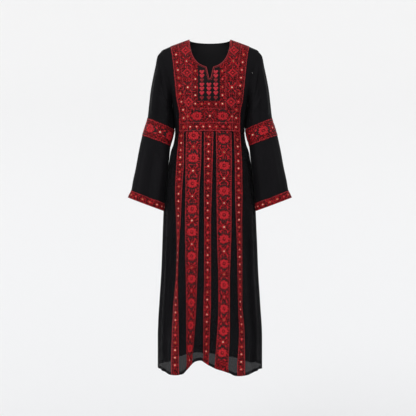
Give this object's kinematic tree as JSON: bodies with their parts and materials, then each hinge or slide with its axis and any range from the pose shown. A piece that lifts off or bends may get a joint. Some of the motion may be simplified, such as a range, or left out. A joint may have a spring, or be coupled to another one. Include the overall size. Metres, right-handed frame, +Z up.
{
  "type": "palestinian thobe dress",
  "caption": "Long-sleeved, floor-length embroidered dress in its hollow worn form, with a slit round neck, chest panel, skirt bands, armbands and flared cuffs.",
  "frame": {"origin": "midway between the two shoulder seams and at the middle of their height, where the wearer's shoulders hold the dress", "axes": "+Z up from hem to neck, -Y out of the front, +X towards the wearer's left"},
  "size_m": [0.6828, 0.3177, 1.3827],
  "materials": {
    "black_cloth": "thin matte crepe weave, slightly sheer",
    "lining_cloth": "smooth plain lining",
    "chest_embroidery": "dense cross stitch in reds on black",
    "band_embroidery": "dense cross stitch in reds on black",
    "piping_cord": "satin covered cord"
  },
  "bodies": {
    "root": {"front_bodice": "black_cloth", "front_skirt": "black_cloth", "back_bodice": "black_cloth", "back_skirt": "black_cloth", "sleeve_right": "black_cloth", "sleeve_left": "black_cloth", "chest_panel": "chest_embroidery", "band_right_narrow": "band_embroidery", "band_right_wide": "band_embroidery", "band_centre": "band_embroidery", "band_left_wide": "band_embroidery", "band_left_narrow": "band_embroidery", "armband_right": "band_embroidery", "armband_left": "band_embroidery", "cuff_band_right": "band_embroidery", "cuff_band_left": "band_embroidery", "neck_piping": "piping_cord", "skirt_lining": "lining_cloth"}
  },
  "joints": []
}
